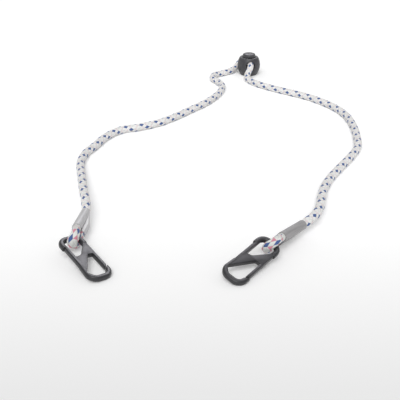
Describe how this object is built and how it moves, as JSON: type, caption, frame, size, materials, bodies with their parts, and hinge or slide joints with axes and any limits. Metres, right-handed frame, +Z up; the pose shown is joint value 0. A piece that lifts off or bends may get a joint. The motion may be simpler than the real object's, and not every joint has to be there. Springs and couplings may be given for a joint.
{
  "type": "eyeglass retainer strap",
  "caption": "Braided cord laid out in an open loop, with a flat hook clip on a sleeved eye at each end and a push-button cord lock threaded on it; the clips hold a pair of glasses by its arms.",
  "frame": {"origin": "middle of the laid-out strap's clips, loops, sleeves and lock, on the table it lies on", "axes": "+Z up from the table, +Y from the clips to the lock, +X to the right as seen from the clips"},
  "size_m": [0.1486, 0.2763, 0.0144],
  "materials": {
    "clip_plastic": "moulded charcoal plastic",
    "lock_plastic": "moulded charcoal plastic",
    "cord_braid": "pale braided sheath with blue and red tracer threads",
    "sleeve_film": "satin grey heat-shrink film",
    "spring_steel": "drawn wire"
  },
  "bodies": {
    "cord": {"left_sleeve": "sleeve_film", "right_sleeve": "sleeve_film", "left_cord_loop": "cord_braid", "left_cord_run": "cord_braid", "lock_cord": "cord_braid", "right_cord_run": "cord_braid", "right_cord_loop": "cord_braid"},
    "left_clip": {"left_clip": "clip_plastic"},
    "left_gate": {"left_gate": "clip_plastic"},
    "right_clip": {"right_clip": "clip_plastic"},
    "right_gate": {"right_gate": "clip_plastic"},
    "lock": {"lock_body": "lock_plastic", "lock_spring": "spring_steel"},
    "lock_button": {"lock_button": "lock_plastic"}
  },
  "joints": [
    {"name": "left_clip_swing", "type": "hinge", "parent": "cord", "child": "left_clip", "pos_m": [-0.04378, -0.11232, 0.00545], "axis": [-0.9472, -0.2783, 0.1593], "range_deg": [0, 50]},
    {"name": "left_gate_flex", "type": "hinge", "parent": "left_clip", "child": "left_gate", "pos_m": [-0.0346, -0.12117, 0.00307], "axis": [-0.1857, 0.0713, -0.98], "range_deg": [0, 18], "stiffness_Nm_per_rad": 0.03},
    {"name": "right_clip_swing", "type": "hinge", "parent": "cord", "child": "right_clip", "pos_m": [0.03342, -0.1165, 0.00551], "axis": [-0.7469, 0.572, 0.339], "range_deg": [0, 50]},
    {"name": "right_gate_flex", "type": "hinge", "parent": "right_clip", "child": "right_gate", "pos_m": [0.02791, -0.12855, 0.0025], "axis": [-0.181, 0.3157, -0.9314], "range_deg": [0, 18], "stiffness_Nm_per_rad": 0.03},
    {"name": "lock_slide", "type": "slide", "parent": "cord", "child": "lock", "axis": [0.1219, -0.9925, 0], "range_m": [0, 0.0014]},
    {"name": "button_press", "type": "slide", "parent": "lock", "child": "lock_button", "axis": [0, 0, -1], "range_m": [0, 0.002], "stiffness_N_per_m": 800, "springref_m": -0.001, "deforming": ["lock_spring"]}
  ]
}
